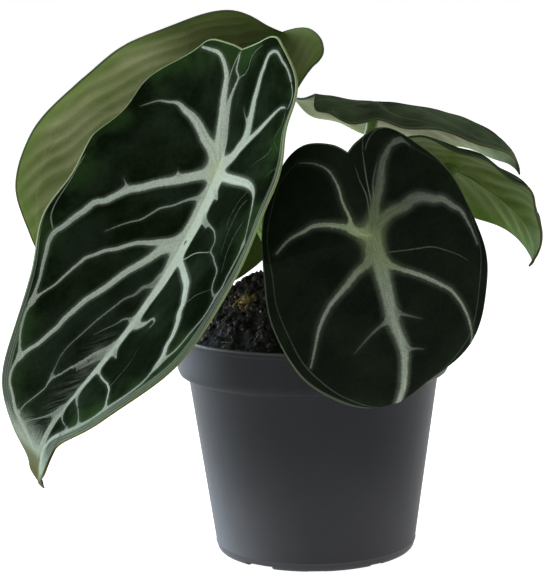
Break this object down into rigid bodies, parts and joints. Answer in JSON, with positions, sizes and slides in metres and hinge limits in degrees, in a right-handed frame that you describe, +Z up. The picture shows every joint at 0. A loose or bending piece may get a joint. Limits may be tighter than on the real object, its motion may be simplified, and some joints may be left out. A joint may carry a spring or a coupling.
{
  "type": "potted foliage plant",
  "caption": "Potted foliage plant: broad arrow-shaped leaves with bold pale veins on arching stalks, standing in a heap of potting mix in a tapered plastic nursery pot.",
  "frame": {"origin": "middle of the pot's base, on the surface it stands on", "axes": "+Z up, -Y towards the viewer, +X to the viewer's right"},
  "size_m": [0.2289, 0.1807, 0.2363],
  "materials": {
    "pot_plastic": "matt, faintly grained",
    "potting_mix": "crumbly, moist",
    "crown_sheath": "fibrous, dull",
    "leaf_stalk": "smooth, waxy",
    "leaf_blade": "velvety, satin"
  },
  "bodies": {
    "root": {"pot": "pot_plastic", "soil": "potting_mix", "crown": "crown_sheath", "petiole_front_left": "leaf_stalk", "petiole_front_right": "leaf_stalk", "petiole_back_left": "leaf_stalk", "petiole_back_right": "leaf_stalk", "petiole_right": "leaf_stalk", "leaf_front_left": "leaf_blade", "leaf_front_right": "leaf_blade", "leaf_back_left": "leaf_blade", "leaf_back_right": "leaf_blade", "leaf_right": "leaf_blade"}
  },
  "joints": []
}
